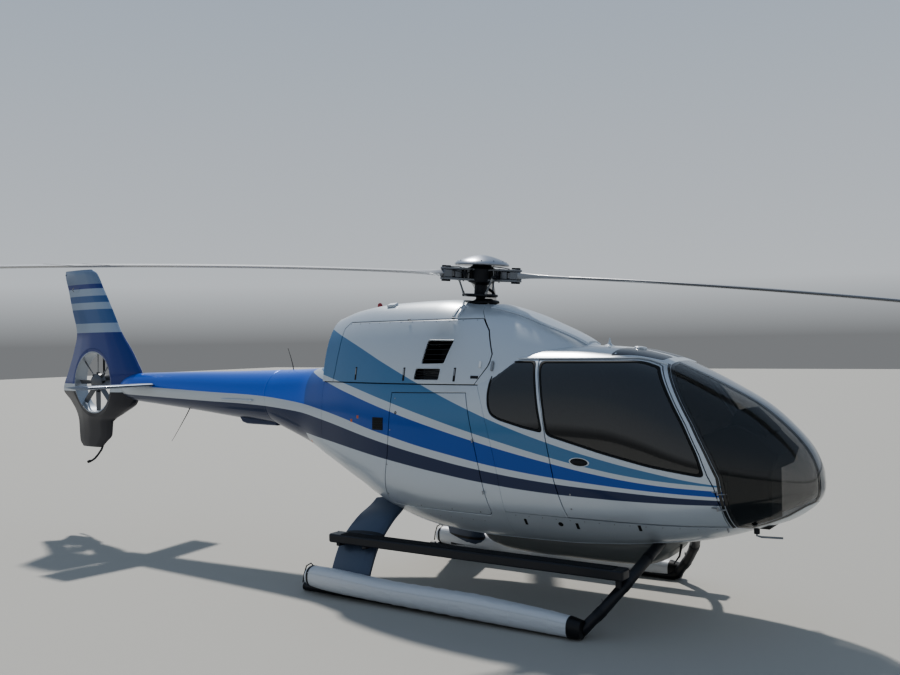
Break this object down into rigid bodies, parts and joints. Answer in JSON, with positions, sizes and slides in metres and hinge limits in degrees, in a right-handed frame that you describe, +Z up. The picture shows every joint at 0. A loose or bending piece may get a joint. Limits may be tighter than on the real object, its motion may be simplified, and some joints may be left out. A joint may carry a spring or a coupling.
{
  "type": "light helicopter with a ducted tail fan and skids with packed floats",
  "caption": "Light single-engine helicopter with a bubble cabin, hinged doors, a turning main rotor, a ducted tail fan and skids with packed floats.",
  "frame": {"origin": "on the ground at the middle of the object's box, which is on its plane of symmetry, 0.824 m behind the rotor mast", "axes": "+X towards the nose, +Y to the left, +Z up"},
  "size_m": [11.5315, 8.7252, 3.312],
  "materials": {
    "body_paint": "pearl silver paint with blue stripes",
    "tinted_glass": "smoked acrylic",
    "bare_metal": "machined steel and alloy",
    "fan_metal": "grey fan blades",
    "blade_paint": "light grey matt paint",
    "tail_paint": "gloss blue paint",
    "float_cover": "light coated fabric",
    "seat_cloth": "grey woven cloth",
    "gear_paint": "black paint",
    "step_rubber": "dark ribbed tread",
    "cabin_plastic": "dark moulded trim"
  },
  "bodies": {
    "airframe": {"belly_and_floor": "body_paint", "cabin_roof": "body_paint", "rear_body": "body_paint", "side_panel_right": "body_paint", "windshield_frame": "body_paint", "windshield_glass_right": "tinted_glass", "windshield_glass_left": "tinted_glass", "side_window_right": "tinted_glass", "sliding_door_left": "body_paint", "sliding_door_glass_left": "tinted_glass", "front_cowl": "body_paint", "rear_cowl": "body_paint", "engine_block": "bare_metal", "exhaust_pipe": "bare_metal", "gearbox_block": "bare_metal", "fin_and_duct": "tail_paint", "tailplane": "tail_paint", "tail_boom": "tail_paint", "tail_bumper": "gear_paint", "tail_fan_gearbox": "bare_metal", "mast_housing": "bare_metal", "front_cross_tube": "gear_paint", "rear_cross_tube": "gear_paint", "skid_tube_right": "gear_paint", "float_pack_right": "float_cover", "step_board_right": "step_rubber", "skid_tube_left": "gear_paint", "float_pack_left": "float_cover", "step_board_left": "step_rubber", "front_seat_right": "cabin_plastic", "front_seat_cushion_right": "seat_cloth", "front_seat_left": "cabin_plastic", "front_seat_cushion_left": "seat_cloth", "rear_bench": "cabin_plastic", "rear_bench_cushion": "seat_cloth", "instrument_console": "cabin_plastic"},
    "main_rotor": {"rotor_hub": "bare_metal", "rotor_cap": "bare_metal", "rotating_swashplate_and_links": "bare_metal", "rotor_blade_1": "blade_paint", "rotor_blade_2": "blade_paint", "rotor_blade_3": "blade_paint"},
    "tail_fan": {"tail_fan": "fan_metal"},
    "front_door_right": {"front_door_right": "body_paint", "front_door_glass_right": "tinted_glass"},
    "front_door_left": {"front_door_left": "body_paint", "front_door_glass_left": "tinted_glass"},
    "baggage_door": {"baggage_door": "body_paint"},
    "cowl_door_right": {"cowl_door_right": "body_paint"},
    "cowl_door_left": {"cowl_door_left": "body_paint"}
  },
  "joints": [
    {"name": "main_rotor", "type": "hinge", "parent": "airframe", "child": "main_rotor", "pos_m": [0.794, 0, 2.93], "axis": [0.0715, 0, 0.9974], "continuous": true},
    {"name": "tail_fan", "type": "hinge", "parent": "airframe", "child": "tail_fan", "pos_m": [-5.026, 0, 1.853], "axis": [0, 1, 0], "continuous": true},
    {"name": "front_door_right", "type": "hinge", "parent": "airframe", "child": "front_door_right", "pos_m": [3.231, -0.628, 1], "axis": [0, 0, 1], "range_deg": [0, 75]},
    {"name": "front_door_left", "type": "hinge", "parent": "airframe", "child": "front_door_left", "pos_m": [3.231, 0.628, 1], "axis": [0, 0, -1], "range_deg": [0, 75]},
    {"name": "baggage_door", "type": "hinge", "parent": "airframe", "child": "baggage_door", "pos_m": [1.185, -0.765, 1.25], "axis": [-0.2315, 0, 0.9728], "range_deg": [0, 95]},
    {"name": "cowl_door_right", "type": "hinge", "parent": "airframe", "child": "cowl_door_right", "pos_m": [0.324, -0.452, 2.517], "axis": [-1, 0, 0], "range_deg": [0, 80]},
    {"name": "cowl_door_left", "type": "hinge", "parent": "airframe", "child": "cowl_door_left", "pos_m": [0.324, 0.452, 2.517], "axis": [1, 0, 0], "range_deg": [0, 80]}
  ]
}
